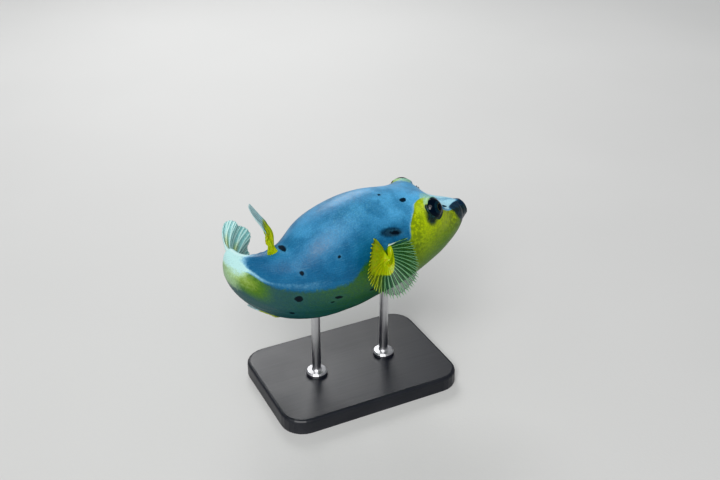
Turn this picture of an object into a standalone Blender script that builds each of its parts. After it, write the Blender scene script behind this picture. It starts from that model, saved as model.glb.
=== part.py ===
"""Blackspotted puffer (Arothron nigropunctatus), a still life-size model on a plain display stand.

Units are metres. The origin is the centre of the stand's underside. The fish's trunk points along +X,
its left flank is on +Y and +Z is up. The head is turned a little to the left, and the tail is curled
round to the left, as the fish holds it while it turns on the spot.

A place on the body is given by two numbers: "along", which runs down the spine from 0 at the mouth to
1 at the root of the tail fin, and "around", the angle about the spine from 0 on the right flank
through 90 degrees on the back to 180 on the left flank and 270 under the belly.
"""

from math import cos, pi, radians, sin

import bmesh
import bpy
import numpy as np
from mathutils import Vector

# ---------------------------------------------------------------- driving dimensions
BODY_LENGTH = 0.200  # mouth to the root of the tail fin, along the spine
SPINE_HEIGHT = 0.120  # middle of the spine above the floor
NOSE_UP = radians(5.6)
HEAD_TURN = radians(5.5)  # to the left
TAIL_TURN = radians(95)  # to the left
BEND_AT = 0.58  # where along the spine the tail starts to curl
HEAD_EASE = 1.3
TAIL_EASE = 2.7
TAIL_DROOP = 0.026  # of the body length
CHIN_DROOP = 0.007

# along; height of the back, depth of the belly and half width, as shares of the body length
STATIONS = np.array(
    (
        (0.00, 0.041, 0.036, 0.038),
        (0.05, 0.060, 0.083, 0.075),
        (0.12, 0.081, 0.129, 0.110),
        (0.20, 0.148, 0.170, 0.129),
        (0.30, 0.188, 0.210, 0.145),
        (0.42, 0.215, 0.224, 0.161),
        (0.55, 0.205, 0.239, 0.175),
        (0.68, 0.163, 0.236, 0.152),
        (0.78, 0.100, 0.210, 0.107),
        (0.88, 0.084, 0.157, 0.059),
        (1.00, 0.089, 0.078, 0.040),
    )
)
TAIL_ROUNDING = ((1.010, 0.90), (1.018, 0.66))  # along; share of the last section

# lips and the mouth's hollow: along; height above, depth below and half width in metres
MOUTH_RINGS = (
    (0.032, 0.0019, 0.0022, 0.0040),
    (0.008, 0.0022, 0.0026, 0.0046),
    (-0.005, 0.0027, 0.0031, 0.0051),
    (-0.012, 0.0047, 0.0050, 0.0063),
    (-0.009, 0.0068, 0.0064, 0.0072),
)

EYE_ALONG = 0.188
EYE_AROUND = radians(44)
EYE_RADIUS = 0.0090
EYE_SINK = 0.0064  # centre of the eyeball below the skin
EYE_DOME = 0.047  # how far the skin bulges round each eye, of the body length
EYE_DOME_LENGTH = 0.073
EYE_DOME_ANGLE = 0.50

HEAD_END = 0.36
TAIL_START = 0.72
TAIL_STALK_START = 0.88
GAP = 0.0003  # between neighbouring pieces

RING_POINTS = 36
RING_STEP = 0.022  # along the spine

NOSTRIL_ALONG = 0.138
NOSTRIL_AROUND = radians(52)
NOSTRIL_LEAN = radians(26)  # of its lobes, towards the flank
NOSTRIL_LENGTH = 0.0030
NOSTRIL_WIDTH = 0.0032
NOSTRIL_SPREAD = 0.0010  # of the two lobes' tips, each way
NOSTRIL_THICKNESS = (0.0016, 0.0010)  # at the foot and at the tips

BEAK_BACK = 0.029  # along
BEAK_FRONT = -0.006
BEAK_HEIGHT = 0.86  # share of the mouth's opening that the tooth plates fill

FIN_EDGE = 0.0007  # thickness at the margin
FIN_ROOT = {"pectoral": 0.0036, "middle": 0.0046, "caudal": 0.0075}  # thickness at the body

BASE_SIZE = (0.150, 0.104, 0.012)
BASE_CORNER = 0.018
ROD_RADIUS = 0.0035
ROD_FOOT_RADIUS = 0.0085
ROD_PLACES = {"front": 0.030, "rear": -0.030}  # X of each rod


# ---------------------------------------------------------------- the body's form
def smooth(column, along):
    """A station column read as one smooth curve."""
    x, y = STATIONS[:, 0], STATIONS[:, column]
    slope = np.gradient(y, x)
    i = np.clip(np.searchsorted(x, along) - 1, 0, len(x) - 2)
    width = x[i + 1] - x[i]
    t = (along - x[i]) / width
    ends = (1 + 2 * t) * (1 - t) ** 2 * y[i] + t * t * (3 - 2 * t) * y[i + 1]
    return ends + width * t * (1 - t) * ((1 - t) * slope[i] - t * slope[i + 1])


def heading(along):
    """The spine's forward direction, as an angle from +X towards +Y."""
    head = HEAD_TURN * np.clip((BEND_AT - along) / BEND_AT, 0, 1) ** HEAD_EASE
    tail = TAIL_TURN * np.clip((along - BEND_AT) / (1 - BEND_AT), 0, 1) ** TAIL_EASE
    return head - tail


def make_spine():
    """Points down the spine, level, with the middle of the spine at zero."""
    along = np.linspace(-0.05, 1.10, 461)
    step = BODY_LENGTH * (along[1] - along[0])
    turn = heading(along)
    mean = (turn[1:] + turn[:-1]) / 2
    x = -np.concatenate(([0], np.cumsum(np.cos(mean)))) * step
    y = -np.concatenate(([0], np.cumsum(np.sin(mean)))) * step
    return along, x - np.interp(0.5, along, x), y - np.interp(0.5, along, y)


SPINE = make_spine()


def place(points):
    """From the level fish to its pose on the stand."""
    x, y, z = np.moveaxis(np.asarray(points, float), -1, 0)
    c, s = cos(NOSE_UP), sin(NOSE_UP)
    return np.stack((c * x - s * z, y, s * x + c * z + SPINE_HEIGHT), -1)


def section(along, around, up, down, half, droop=0.0):
    """Points of the level cross-section at this place, with the radii given in metres."""
    along, around = np.broadcast_arrays(np.asarray(along, float), around)
    angle = heading(along)
    right = half * np.cos(around)
    high = np.where(np.sin(around) > 0, up, down) * np.sin(around) + droop
    x = np.interp(along, SPINE[0], SPINE[1]) + right * np.sin(angle)
    y = np.interp(along, SPINE[0], SPINE[2]) - right * np.cos(angle)
    return np.stack((x, y, high), -1)


def droop_at(along):
    tail = TAIL_DROOP * np.clip((along - 0.5) / 0.5, 0, 1) ** 2
    chin = CHIN_DROOP * np.clip((0.3 - along) / 0.3, 0, 1) ** 2
    return -(tail + chin) * BODY_LENGTH


def body(along, around, share=1.0, grow=0.0):
    """The skin's surface, with its section scaled to a share and moved out by grow metres."""
    along, around = np.broadcast_arrays(np.asarray(along, float), np.asarray(around, float))
    inside = np.clip(along, 0, 1)
    dome = np.zeros_like(along)
    for eye in (EYE_AROUND, pi - EYE_AROUND):
        off = (around - eye + pi) % (2 * pi) - pi
        near = ((along - EYE_ALONG) / EYE_DOME_LENGTH) ** 2 + (off / EYE_DOME_ANGLE) ** 2
        dome = dome + EYE_DOME * np.exp(-near)
    up, down, half = ((smooth(k, inside) + dome) * share * BODY_LENGTH + grow for k in (1, 2, 3))
    return place(section(along, around, up, down, half, droop_at(along)))


def outward(along, around):
    """The skin's outward direction."""
    step = 1e-3
    down_body = body(along + step, around) - body(along - step, around)
    round_body = body(along, around + step) - body(along, around - step)
    normal = Vector(np.cross(round_body, down_body)).normalized()
    middle = body(along, np.array((0, pi))).mean(axis=0)
    return normal if normal.dot(Vector(body(along, around) - middle)) > 0 else -normal


AROUND = np.arange(RING_POINTS) * 2 * pi / RING_POINTS


# ---------------------------------------------------------------- making objects
def clear_scene():
    for obj in list(bpy.data.objects):
        bpy.data.objects.remove(obj, do_unlink=True)


def finish(name, colour, roughness, metallic=0.0, coat=0.0):
    material = bpy.data.materials.new(name)
    material.use_nodes = True
    shader = material.node_tree.nodes["Principled BSDF"]
    shader.inputs["Base Color"].default_value = (*colour, 1)
    shader.inputs["Roughness"].default_value = roughness
    shader.inputs["Metallic"].default_value = metallic
    shader.inputs["Coat Weight"].default_value = coat
    material.diffuse_color = (*colour, 1)
    return material


def add_object(name, mesh_builder, material):
    mesh = bpy.data.meshes.new(name)
    bmesh.ops.recalc_face_normals(mesh_builder, faces=mesh_builder.faces)
    if mesh_builder.calc_volume(signed=True) < 0:
        bmesh.ops.reverse_faces(mesh_builder, faces=mesh_builder.faces)
    mesh_builder.to_mesh(mesh)
    mesh_builder.free()
    mesh.shade_smooth()
    mesh.set_sharp_from_angle(angle=radians(40))
    obj = bpy.data.objects.new(name, mesh)
    bpy.context.scene.collection.objects.link(obj)
    if material:
        mesh.materials.append(material)
    return obj


def loft(name, rings, material):
    """A closed solid through rings of as many points each, with a flat cap at either end."""
    bm = bmesh.new()
    rows = [[bm.verts.new(point) for point in ring] for ring in rings]
    for a, b in zip(rows, rows[1:]):
        for i in range(len(a)):
            j = (i + 1) % len(a)
            bm.faces.new((a[i], a[j], b[j], b[i]))
    bm.faces.new(rows[0])
    bm.faces.new(rows[-1])
    return add_object(name, bm, material)


def sheet(name, point, thickness, across, out, material, root=-0.12):
    """A thin closed solid over point(t, v): t runs across the fin, v from its root out to its margin."""
    t, v = np.meshgrid(np.linspace(0, 1, across), np.linspace(root, 1, out), indexing="ij")
    middle = point(t, v)
    along_t = np.gradient(middle, axis=0)
    along_v = np.gradient(middle, axis=1)
    normal = np.cross(along_t, along_v)
    normal /= np.linalg.norm(normal, axis=-1, keepdims=True)
    half = thickness(t, v)[..., None] / 2 * normal
    bm = bmesh.new()
    front, back = (
        [[bm.verts.new(p) for p in row] for row in side] for side in (middle + half, middle - half)
    )
    for i in range(across - 1):
        for j in range(out - 1):
            for side in (front, back):
                bm.faces.new((side[i][j], side[i + 1][j], side[i + 1][j + 1], side[i][j + 1]))
    for i in range(across - 1):
        for j in (0, out - 1):
            bm.faces.new((front[i][j], front[i + 1][j], back[i + 1][j], back[i][j]))
    for j in range(out - 1):
        for i in (0, across - 1):
            bm.faces.new((front[i][j], front[i][j + 1], back[i][j + 1], back[i][j]))
    return add_object(name, bm, material)


def cut(obj, cutter, solver="EXACT"):
    modifier = obj.modifiers.new("Clear of " + cutter.name, "BOOLEAN")
    modifier.operation = "DIFFERENCE"
    modifier.solver = solver
    modifier.object = cutter


def as_cutter(obj):
    obj.hide_render = True
    obj.display_type = "WIRE"
    return obj


# ---------------------------------------------------------------- head, trunk and tail
def body_rings(start, end, **form):
    count = max(2, round((end - start) / RING_STEP) + 1)
    return [body(along, AROUND, **form) for along in np.linspace(start, end, count)]


def mouth_rings():
    return [
        place(section(along, AROUND, up, down, half, droop_at(along)))
        for along, up, down, half in MOUTH_RINGS
    ]


def tail_end_rings(**form):
    return [body(along, AROUND, share=share, **form) for along, share in TAIL_ROUNDING]


def make_flesh(skin):
    half_gap = GAP / 2 / BODY_LENGTH
    head = loft("head", mouth_rings() + body_rings(0.0, HEAD_END - half_gap), skin)
    loft("trunk", body_rings(HEAD_END + half_gap, TAIL_START - half_gap), skin)
    loft("tail", body_rings(TAIL_START + half_gap, TAIL_STALK_START - half_gap), skin)
    stalk = body_rings(TAIL_STALK_START + half_gap, 1.0) + tail_end_rings()
    loft("tail_stalk", stalk, skin)
    return head


def make_body_cutter():
    """The whole body a gap larger, to trim what meets it."""
    nose = body(-0.006, AROUND, share=0.8, grow=GAP)
    rings = [nose] + body_rings(0.0, 1.0, grow=GAP) + tail_end_rings(grow=GAP)
    return as_cutter(loft("body_clearance", rings, None))


# ---------------------------------------------------------------- eyes, nostrils and beak
def ball(name, centre, axis, radius, material):
    bm = bmesh.new()
    bmesh.ops.create_uvsphere(bm, u_segments=18, v_segments=11, radius=radius)
    turn = Vector((0, 0, 1)).rotation_difference(axis).to_matrix()
    bmesh.ops.rotate(bm, verts=bm.verts, cent=(0, 0, 0), matrix=turn)
    bmesh.ops.translate(bm, verts=bm.verts, vec=centre)
    return add_object(name, bm, material)


def make_eyes(head, material):
    for side, around in (("right", EYE_AROUND), ("left", pi - EYE_AROUND)):
        axis = outward(EYE_ALONG, around)
        centre = Vector(body(EYE_ALONG, around)) - axis * EYE_SINK
        ball("eye_" + side, centre, axis, EYE_RADIUS, material)
        socket = ball("eye_socket_" + side, centre, axis, EYE_RADIUS + GAP, None)
        cut(head, as_cutter(socket))


def make_nostrils(cutter, material):
    """Each nostril is a pair of short fleshy lobes on one foot."""
    thick, thin = NOSTRIL_THICKNESS
    for side, around, lean in (
        ("right", NOSTRIL_AROUND, -NOSTRIL_LEAN),
        ("left", pi - NOSTRIL_AROUND, NOSTRIL_LEAN),
    ):
        foot = body(NOSTRIL_ALONG, around)
        out = np.array(outward(NOSTRIL_ALONG, around + lean))
        forward = body(NOSTRIL_ALONG - 0.01, around) - foot
        forward /= np.linalg.norm(forward)

        def lobes(t, v):
            fork = 0.42 + 0.58 * np.abs(np.sin(2 * pi * t)) ** 0.6
            reach = NOSTRIL_LENGTH * v * np.where(v > 0, fork, 1)
            side_step = (t - 0.5) * (NOSTRIL_WIDTH + NOSTRIL_SPREAD * 2 * np.clip(v, 0, 1))
            return foot + reach[..., None] * out + side_step[..., None] * forward

        def thickness(t, v):
            return thick + (thin - thick) * np.clip(v, 0, 1)

        lobe = sheet("nasal_tentacle_" + side, lobes, thickness, 9, 4, material, root=-0.3)
        cut(lobe, cutter)


def make_beak(material):
    """Upper and lower tooth plates, just inside the lips."""
    shape = np.array(MOUTH_RINGS)[:3]
    for name, start in (("beak_upper", 0.0), ("beak_lower", pi)):
        rings = []
        for along in np.linspace(BEAK_BACK, BEAK_FRONT, 6):
            up, down, half = (
                np.interp(-along, -shape[:, 0], shape[:, k]) - 1.2 * GAP for k in (1, 2, 3)
            )
            bite = np.linspace(start, start + pi, 15)
            ring = section(along, bite, up, down, half, droop_at(along))
            shift = GAP * 0.8 if start == 0 else -GAP * 0.8
            ring[:, 2] = droop_at(along) + shift + (ring[:, 2] - droop_at(along)) * BEAK_HEIGHT
            rings.append(place(ring))
        loft(name, rings, material)


# ---------------------------------------------------------------- fins
def ray_table(t, table):
    """Each column after the first read smoothly at t."""
    table = np.array(table)
    cells = [np.interp(t, table[:, 0], table[:, k]) for k in range(1, table.shape[1])]
    return np.stack(cells, -1)


def fin_thickness(root, length_share=0.5):
    def thickness(t, v):
        return FIN_EDGE + (root - FIN_EDGE) * np.clip(1 - v / length_share, 0, 1) ** 1.5

    return thickness


def tilt(vectors):
    """Directions given for the level fish, turned with its nose."""
    return place(vectors) - place(np.zeros(3))


MIDDLE_FIN_ARCH = 0.22  # how far the fin bows away from a straight line, of its length
# each ray: across the fin; forward, left and up, for a fin of unit length
DORSAL_LENGTH = 0.0405
DORSAL_BASE = (0.755, 0.828)
DORSAL_AROUND = radians(84)  # it leans off the middle line with the twist of the tail
DORSAL_RAYS = (
    (0.00, -0.42, 0.61, 0.71),
    (0.30, -0.36, 0.40, 0.80),
    (0.60, -0.25, 0.18, 0.81),
    (0.85, -0.11, 0.00, 0.74),
    (1.00, -0.01, -0.08, 0.70),
)
ANAL_LENGTH = 0.034
ANAL_BASE = (0.780, 0.850)
ANAL_RAYS = (
    (0.00, 0.05, 0.90, -0.36),
    (0.30, -0.05, 0.96, -0.30),
    (0.60, -0.15, 0.94, -0.24),
    (0.85, -0.24, 0.84, -0.16),
    (1.00, -0.30, 0.70, -0.10),
)


def make_middle_fin(name, base, around, rays, length, cutter, material):
    """A paddle on a short fleshy base, on the body's middle line."""

    def point(t, v):
        along = base[0] + (base[1] - base[0]) * t
        foot = body(along, around)
        reach = tilt(ray_table(t, rays)) * length
        arch = np.array((0, 0, np.sign(pi - around) * MIDDLE_FIN_ARCH * length))
        return foot + reach * v[..., None] + arch * (v * (1 - v))[..., None]

    fin = sheet(name, point, fin_thickness(FIN_ROOT["middle"]), 11, 7, material)
    cut(fin, cutter)


CAUDAL_LENGTH = 0.052
CAUDAL_CURL = radians(34)  # how much each ray goes on curling to the left
# across, from the top ray down; direction from +X towards +Y, rise, length
CAUDAL_RAYS = (
    (0.00, radians(76), radians(1), 0.96),
    (0.20, radians(70), radians(6), 0.99),
    (0.45, radians(60), radians(6), 1.02),
    (0.70, radians(56), radians(-3), 0.96),
    (0.88, radians(58), radians(-11), 0.87),
    (1.00, radians(60), radians(-17), 0.77),
)
CAUDAL_PLEATS = 3
CAUDAL_PLEAT_DEPTH = 0.0022
CAUDAL_SCALLOP = 0.035  # of the fin's length
CAUDAL_ROOT_ALONG = 0.985
CAUDAL_ROOT_INSET = 0.12  # from the back and from the belly, share of the tail stalk's height


def make_tail_fin(cutter, material):
    def point(t, v):
        top, foot = body(CAUDAL_ROOT_ALONG, pi / 2), body(CAUDAL_ROOT_ALONG, 3 * pi / 2)
        share = (CAUDAL_ROOT_INSET + (1 - 2 * CAUDAL_ROOT_INSET) * t)[..., None]
        root = top + (foot - top) * share
        turn, rise, reach = np.moveaxis(ray_table(t, CAUDAL_RAYS), -1, 0)
        out = np.clip(v, 0, 1)
        curl = turn + CAUDAL_CURL * (0.5 - out / 2)
        scallop = 1 + CAUDAL_SCALLOP * np.cos(2 * pi * CAUDAL_PLEATS * t) * out
        length = CAUDAL_LENGTH * reach * scallop * v
        ray = np.stack((np.cos(curl) * np.cos(rise), np.sin(curl) * np.cos(rise), np.sin(rise)), -1)
        pleat = CAUDAL_PLEAT_DEPTH * out * np.sin(2 * pi * CAUDAL_PLEATS * t)
        flat = np.stack((-np.sin(turn), np.cos(turn), np.zeros_like(turn)), -1)
        return root + tilt(ray * length[..., None] + flat * pleat[..., None])

    fin = sheet("fin_caudal", point, fin_thickness(FIN_ROOT["caudal"], 0.45), 25, 8, material)
    cut(fin, cutter)


PECTORAL_LENGTH = 0.030
# the rays fan out round a fleshy stalk, from the upper front over the front and below to the back
PECTORAL_PLACE = (0.428, radians(6))  # middle of the stalk, along and around
PECTORAL_STALK = (0.024, radians(11))  # its half length and half height, along and around
# side: the first ray from straight ahead, upwards; how far the fan sweeps from there; how flat it is
PECTORAL_OPENING = {
    "right": (radians(58), radians(298), 1.0),
    "left": (radians(14), radians(176), 1.25),
}
# across; how far a ray leans off the stalk's axis, and how far out it reaches, for a fin of unit length
PECTORAL_RAYS = (
    (0.00, 0.54, 0.58),
    (0.20, 0.38, 0.82),
    (0.40, 0.46, 0.84),
    (0.60, 0.70, 0.70),
    (0.75, 0.70, 0.62),
    (0.88, 0.64, 0.56),
    (1.00, 0.74, 0.42),
)


def make_pectoral_fins(cutter, material):
    for side, (first, sweep, flat) in PECTORAL_OPENING.items():

        def point(t, v):
            turn = first - sweep * t
            along = PECTORAL_PLACE[0] - PECTORAL_STALK[0] * np.cos(turn)
            around = PECTORAL_PLACE[1] + PECTORAL_STALK[1] * np.sin(turn)
            foot = body(along, around if side == "right" else pi - around)
            lean, out = np.moveaxis(ray_table(t, PECTORAL_RAYS), -1, 0)
            lean, out = lean * flat, out / flat * (-1 if side == "right" else 1)
            ray = np.stack((lean * np.cos(turn), out, lean * np.sin(turn)), -1)
            return foot + tilt(ray) * PECTORAL_LENGTH * v[..., None]

        fin = sheet("fin_pectoral_" + side, point, fin_thickness(FIN_ROOT["pectoral"], 0.55), 25, 6, material)
        cut(fin, cutter, solver="MANIFOLD")  # the exact solver loses one of the two fins


# ---------------------------------------------------------------- display stand
def make_stand(cutter, wood, steel):
    long, wide, high = BASE_SIZE
    bm = bmesh.new()
    bmesh.ops.create_cube(bm, size=1)
    bmesh.ops.scale(bm, verts=bm.verts, vec=(long, wide, high))
    bmesh.ops.translate(bm, verts=bm.verts, vec=(0, 0, high / 2))
    upright = [edge for edge in bm.edges if abs(edge.verts[0].co.z - edge.verts[1].co.z) > high / 2]
    bmesh.ops.bevel(bm, geom=upright, offset=BASE_CORNER, segments=6, profile=0.5, affect="EDGES")
    rim = [edge for edge in bm.edges if min(v.co.z for v in edge.verts) > high - 1e-6]
    bmesh.ops.bevel(bm, geom=rim, offset=0.0025, segments=3, profile=0.5, affect="EDGES")
    add_object("stand_base", bm, wood)

    foot = high + GAP
    for name, x in ROD_PLACES.items():
        y = float(np.interp(-x, -SPINE[1], SPINE[2]))
        profile = (
            (ROD_FOOT_RADIUS, foot),
            (ROD_FOOT_RADIUS, foot + 0.0022),
            (ROD_FOOT_RADIUS - 0.0012, foot + 0.0034),
            (ROD_RADIUS + 0.0008, foot + 0.0040),
            (ROD_RADIUS, foot + 0.0050),
            (ROD_RADIUS, SPINE_HEIGHT - 0.020),
        )
        turn = np.arange(24) * 2 * pi / 24
        rings = [
            np.stack((x + r * np.cos(turn), y + r * np.sin(turn), np.full(24, z)), -1) for r, z in profile
        ]
        cut(loft("stand_rod_" + name, rings, steel), cutter)


def main():
    clear_scene()
    skin = finish("puffer skin", (0.17, 0.28, 0.38), 0.45, coat=0.3)
    fin = finish("fin membrane", (0.52, 0.66, 0.42), 0.40)
    pale_fin = finish("pale fin membrane", (0.62, 0.80, 0.74), 0.40)
    eye = finish("eye", (0.02, 0.03, 0.05), 0.06, coat=1.0)
    dark = finish("dark flesh", (0.02, 0.03, 0.05), 0.45)
    tooth = finish("tooth", (0.80, 0.78, 0.68), 0.25)
    wood = finish("painted wood", (0.035, 0.036, 0.04), 0.42)
    steel = finish("brushed steel", (0.62, 0.62, 0.64), 0.30, metallic=1.0)

    cutter = make_body_cutter()
    head = make_flesh(skin)
    make_eyes(head, eye)
    make_nostrils(cutter, dark)
    make_beak(tooth)
    make_pectoral_fins(cutter, fin)
    make_middle_fin("fin_dorsal", DORSAL_BASE, DORSAL_AROUND, DORSAL_RAYS, DORSAL_LENGTH, cutter, fin)
    make_middle_fin("fin_anal", ANAL_BASE, 3 * pi / 2, ANAL_RAYS, ANAL_LENGTH, cutter, fin)
    make_tail_fin(cutter, pale_fin)
    make_stand(cutter, wood, steel)


main()
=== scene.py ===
"""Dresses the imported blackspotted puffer: its skin, eyes, lips, beak and fins, and the finish of its stand.

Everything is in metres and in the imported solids' frame: the trunk points along +X, the left flank is on +Y
and the stand's underside is at Z = 0. A place on the body is given as in the solids: "along" runs down the
spine from 0 at the mouth to 1 at the root of the tail fin, and "around" is the angle about the spine, from 0
on the right flank through 90 degrees on the back to 180 on the left flank and 270 under the belly.
"""

from math import cos, pi, radians, sin

import bpy
import numpy as np
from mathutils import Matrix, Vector
from mathutils.kdtree import KDTree


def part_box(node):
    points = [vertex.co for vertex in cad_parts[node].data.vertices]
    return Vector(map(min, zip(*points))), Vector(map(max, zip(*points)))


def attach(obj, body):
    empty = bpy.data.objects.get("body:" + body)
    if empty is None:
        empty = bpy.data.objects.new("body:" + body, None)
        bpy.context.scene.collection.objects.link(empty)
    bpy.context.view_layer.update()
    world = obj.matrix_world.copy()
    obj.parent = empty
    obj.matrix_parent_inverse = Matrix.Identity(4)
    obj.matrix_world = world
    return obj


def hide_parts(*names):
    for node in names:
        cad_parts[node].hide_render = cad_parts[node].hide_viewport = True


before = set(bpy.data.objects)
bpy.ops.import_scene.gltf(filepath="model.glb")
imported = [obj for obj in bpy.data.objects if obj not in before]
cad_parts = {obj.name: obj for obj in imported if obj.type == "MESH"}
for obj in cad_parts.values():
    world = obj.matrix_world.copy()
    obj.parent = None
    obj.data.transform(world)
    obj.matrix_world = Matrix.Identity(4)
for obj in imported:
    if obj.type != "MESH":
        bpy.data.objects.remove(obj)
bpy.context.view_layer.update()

# ---------------------------------------------------------------- the body's form, as in the solids
BODY_LENGTH = 0.200
SPINE_HEIGHT = 0.120
NOSE_UP = radians(5.6)
HEAD_TURN = radians(5.5)
TAIL_TURN = radians(95)
BEND_AT = 0.58
HEAD_EASE = 1.3
TAIL_EASE = 2.7
TAIL_DROOP = 0.026
CHIN_DROOP = 0.007

# along; height of the back, depth of the belly and half width, as shares of the body length
STATIONS = (
    (0.00, 0.041, 0.036, 0.038),
    (0.05, 0.060, 0.083, 0.075),
    (0.12, 0.081, 0.129, 0.110),
    (0.20, 0.148, 0.170, 0.129),
    (0.30, 0.188, 0.210, 0.145),
    (0.42, 0.215, 0.224, 0.161),
    (0.55, 0.205, 0.239, 0.175),
    (0.68, 0.163, 0.236, 0.152),
    (0.78, 0.100, 0.210, 0.107),
    (0.88, 0.084, 0.157, 0.059),
    (1.00, 0.089, 0.078, 0.040),
)
# along; share of the last section
TAIL_ROUNDING = ((1.000, 1.00), (1.008, 0.92), (1.014, 0.74), (1.018, 0.48), (1.019, 0.15))
TAIL_INSET = 0.985  # of that share, so that the skin's end stays inside the solid
# from inside the mouth out over the lips: along; height, depth and half width in metres
LIP_RINGS = (
    (0.032, 0.0019, 0.0022, 0.0040),
    (0.008, 0.0022, 0.0026, 0.0046),
    (-0.005, 0.0027, 0.0031, 0.0051),
    (-0.0105, 0.0037, 0.0041, 0.0057),
    (-0.0115, 0.0051, 0.0053, 0.0065),
    (-0.0085, 0.0067, 0.0063, 0.0071),
    (0.000, 0.0082, 0.0072, 0.0076),
)

EYE_ALONG = 0.188
EYE_AROUND = radians(44)
EYE_DOME = 0.047
EYE_DOME_LENGTH = 0.073
EYE_DOME_ANGLE = 0.50
NOSTRIL_ALONG = 0.138
NOSTRIL_AROUND = radians(52)
NOSTRIL_LEAN = radians(26)

SKIN_DEPTH = 0.00025  # how far the skin lies inside the solids
MM = 0.001


def through(points, x, column=1):
    """The smooth line through a few points, read at x. Each point is x and then its values."""
    table = np.array(points, float)
    known, value = table[:, 0], table[:, column]
    slope = np.gradient(value, known)
    x = np.clip(x, known[0], known[-1])
    i = np.clip(np.searchsorted(known, x) - 1, 0, len(known) - 2)
    width = known[i + 1] - known[i]
    t = (x - known[i]) / width
    ends = (1 + 2 * t) * (1 - t) ** 2 * value[i] + t * t * (3 - 2 * t) * value[i + 1]
    return ends + width * t * (1 - t) * ((1 - t) * slope[i] - t * slope[i + 1])


def fade(value, start, end):
    """0 before start, 1 after end, and smooth between them. It falls instead where end is below start."""
    t = np.clip((value - start) / (end - start), 0, 1)
    return t * t * (3 - 2 * t)


def hump(value, middle, width):
    """1 at the middle, and smoothly down to 0 on both sides of it."""
    return np.exp(-(((value - middle) / width) ** 2))


def unit(vectors):
    return vectors / np.linalg.norm(vectors, axis=-1, keepdims=True)


def on_flank(side, around):
    """The angle about the spine of a place given for the right flank, on this flank."""
    return around if side == "right" else pi - around


def full_turn(count):
    """Angles once round, without the last, which is the first again."""
    return np.linspace(0, 2 * pi, count, endpoint=False)


def heading(along):
    head = HEAD_TURN * np.clip((BEND_AT - along) / BEND_AT, 0, 1) ** HEAD_EASE
    tail = TAIL_TURN * np.clip((along - BEND_AT) / (1 - BEND_AT), 0, 1) ** TAIL_EASE
    return head - tail


def make_spine():
    along = np.linspace(-0.05, 1.10, 461)
    step = BODY_LENGTH * (along[1] - along[0])
    turn = heading(along)
    mean = (turn[1:] + turn[:-1]) / 2
    x = -np.concatenate(([0], np.cumsum(np.cos(mean)))) * step
    y = -np.concatenate(([0], np.cumsum(np.sin(mean)))) * step
    return along, x - np.interp(0.5, along, x), y - np.interp(0.5, along, y)


SPINE = make_spine()


def place(points):
    """From the level fish to its pose on the stand."""
    x, y, z = np.moveaxis(np.asarray(points, float), -1, 0)
    c, s = cos(NOSE_UP), sin(NOSE_UP)
    return np.stack((c * x - s * z, y, s * x + c * z + SPINE_HEIGHT), -1)


def tilt(vectors):
    """Directions given for the level fish, turned with its nose."""
    return place(vectors) - place(np.zeros(3))


def droop_at(along):
    tail = TAIL_DROOP * np.clip((along - 0.5) / 0.5, 0, 1) ** 2
    chin = CHIN_DROOP * np.clip((0.3 - along) / 0.3, 0, 1) ** 2
    return -(tail + chin) * BODY_LENGTH


def section(along, around, up, down, half):
    """Points of the cross-section at this place, with the radii given in metres."""
    along, around = np.broadcast_arrays(np.asarray(along, float), around)
    angle = heading(along)
    right = half * np.cos(around)
    high = np.where(np.sin(around) > 0, up, down) * np.sin(around) + droop_at(along)
    x = np.interp(along, SPINE[0], SPINE[1]) + right * np.sin(angle)
    y = np.interp(along, SPINE[0], SPINE[2]) - right * np.cos(angle)
    return place(np.stack((x, y, high), -1))


def body(along, around, share=1.0):
    """The body's surface, with its section scaled to a share."""
    along, around = np.broadcast_arrays(np.asarray(along, float), np.asarray(around, float))
    inside = np.clip(along, 0, 1)
    dome = np.zeros_like(along)
    for eye in (EYE_AROUND, pi - EYE_AROUND):
        off = (around - eye + pi) % (2 * pi) - pi
        near = ((along - EYE_ALONG) / EYE_DOME_LENGTH) ** 2 + (off / EYE_DOME_ANGLE) ** 2
        dome = dome + EYE_DOME * np.exp(-near)
    radii = ((through(STATIONS, inside, k) + dome) * share * BODY_LENGTH for k in (1, 2, 3))
    return section(along, around, *radii)


def outward(along, around):
    """The body's outward direction."""
    step = 1e-3
    lengthwise = body(along + step, around) - body(along - step, around)
    crosswise = body(along, around + step) - body(along, around - step)
    return unit(np.cross(crosswise, lengthwise))


def girth(along, around):
    """How many metres of skin one radian of around takes up here."""
    step = 1e-3
    return np.linalg.norm(body(along, around + step) - body(along, around - step), axis=-1) / (2 * step)


def above(around):
    """The angle above the side line in degrees, alike on both flanks: -90 under the belly, 90 on the back."""
    return np.degrees(np.arcsin(np.sin(around)))


class Eye:
    """Where an eyeball sits, and which way it bulges and looks."""

    def __init__(self, side):
        low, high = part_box("eye_" + side)
        self.side = side
        self.around = on_flank(side, EYE_AROUND)
        self.centre = np.array((low + high) / 2)
        self.radius = min(high - low) / 2
        self.axis = outward(EYE_ALONG, self.around)
        self.gaze = unit(self.axis + 0.35 * tilt((0.55, -0.75 if side == "right" else 0.75, -0.35)))

    def polar(self, points):
        """Each point's distance from the eye's centre, and its angle from the eye's axis in degrees."""
        away = points - self.centre
        distance = np.linalg.norm(away, axis=-1)
        return distance, np.degrees(np.arccos(np.clip(away @ self.axis / distance, -1, 1)))


    def towards(self, way, points):
        """How far round from the eye's axis each point lies this way: 1 straight that way, -1 opposite."""
        away = points - self.centre
        away = away - (away @ self.axis)[..., None] * self.axis
        way = tilt(way)
        way = unit(way - (way @ self.axis) * self.axis)
        return away @ way / np.maximum(np.linalg.norm(away, axis=-1), 1e-6)


EYES = [Eye("right"), Eye("left")]
BROW = (0.15, 0.0, 1.0)  # ways round an eye, for the level fish
SNOUT = (1.0, 0.0, 0.0)


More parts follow.
